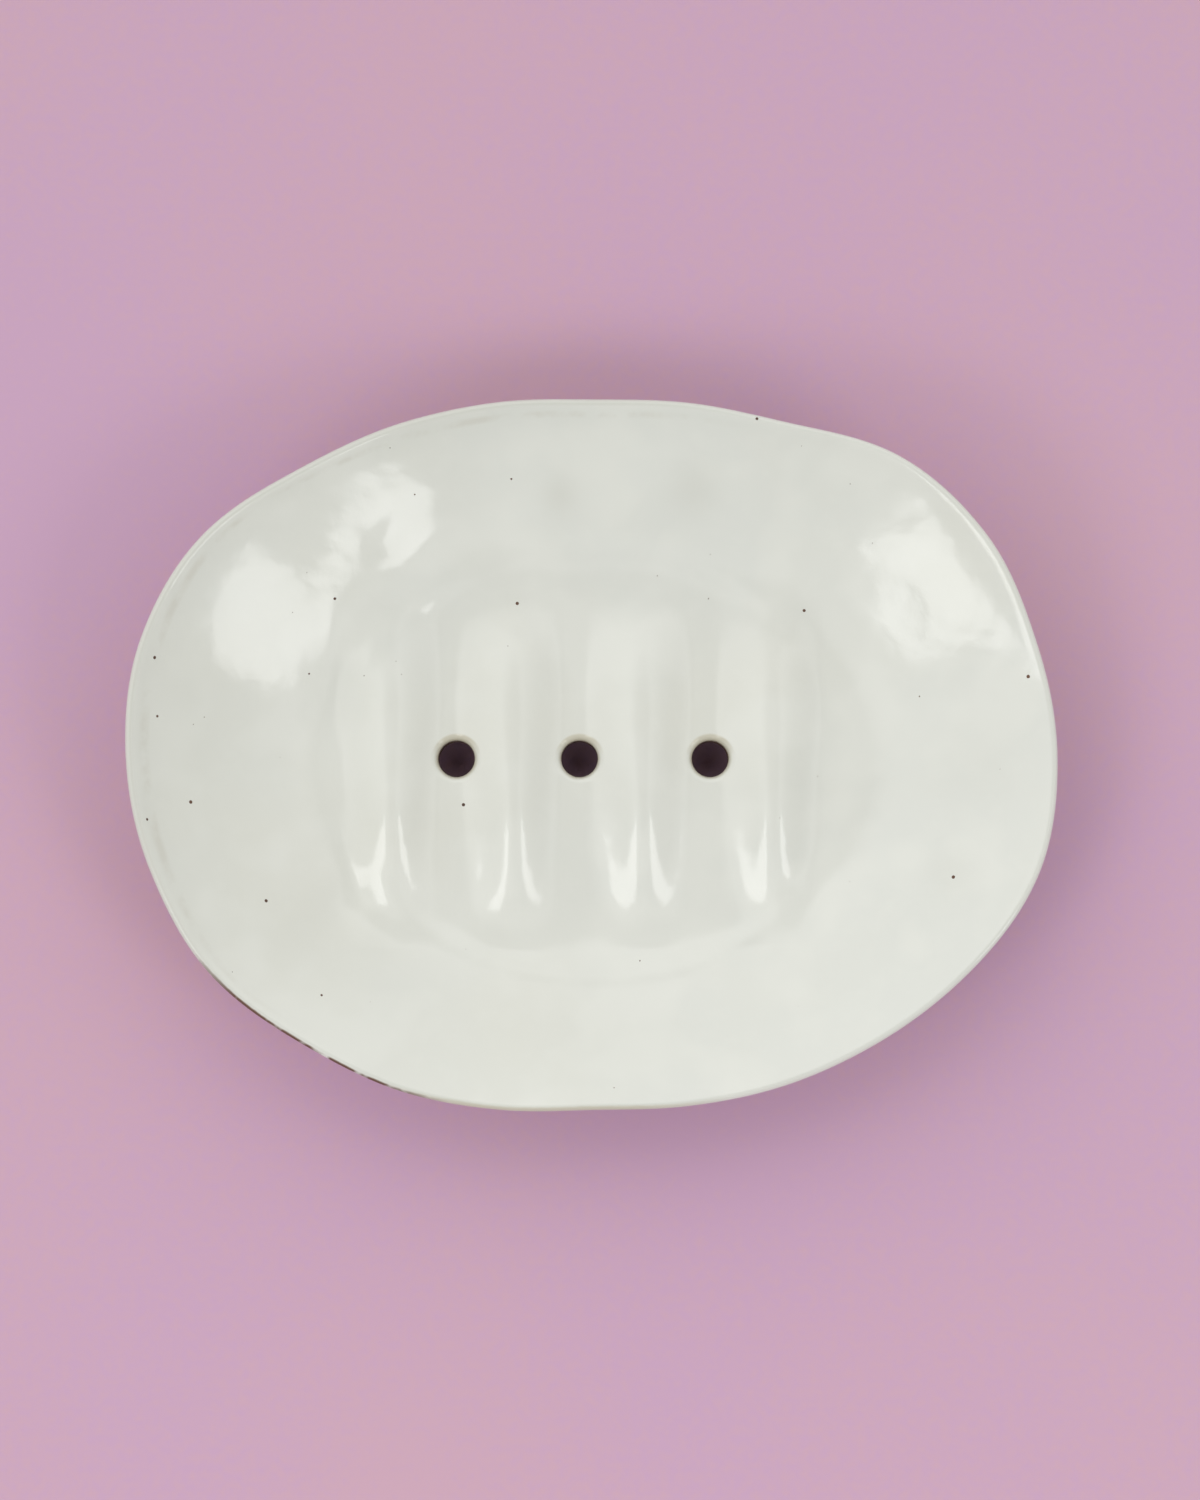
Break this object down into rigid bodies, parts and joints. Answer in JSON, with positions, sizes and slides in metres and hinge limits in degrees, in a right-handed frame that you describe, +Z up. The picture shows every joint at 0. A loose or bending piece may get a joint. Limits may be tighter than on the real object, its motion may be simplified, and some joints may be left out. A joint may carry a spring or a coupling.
{
  "type": "soap dish",
  "caption": "Hand-pressed oval ceramic soap dish: shallow glazed bowl with an uneven rim, raised ribs and drain holes in its floor, standing on small clay feet.",
  "frame": {"origin": "on the table under the middle of the dish's length and width", "axes": "+X along the dish and its row of drain holes, +Y across the dish along the ribs towards their long fading ends, +Z up"},
  "size_m": [0.1499, 0.115, 0.0261],
  "materials": {
    "clay": "matte",
    "glaze": "gloss",
    "foot_clay": "matte"
  },
  "bodies": {
    "root": {"clay_body": "clay", "glaze_coat": "glaze", "foot_front_left": "foot_clay", "foot_front_right": "foot_clay", "foot_back_left": "foot_clay", "foot_back_right": "foot_clay"}
  },
  "joints": []
}
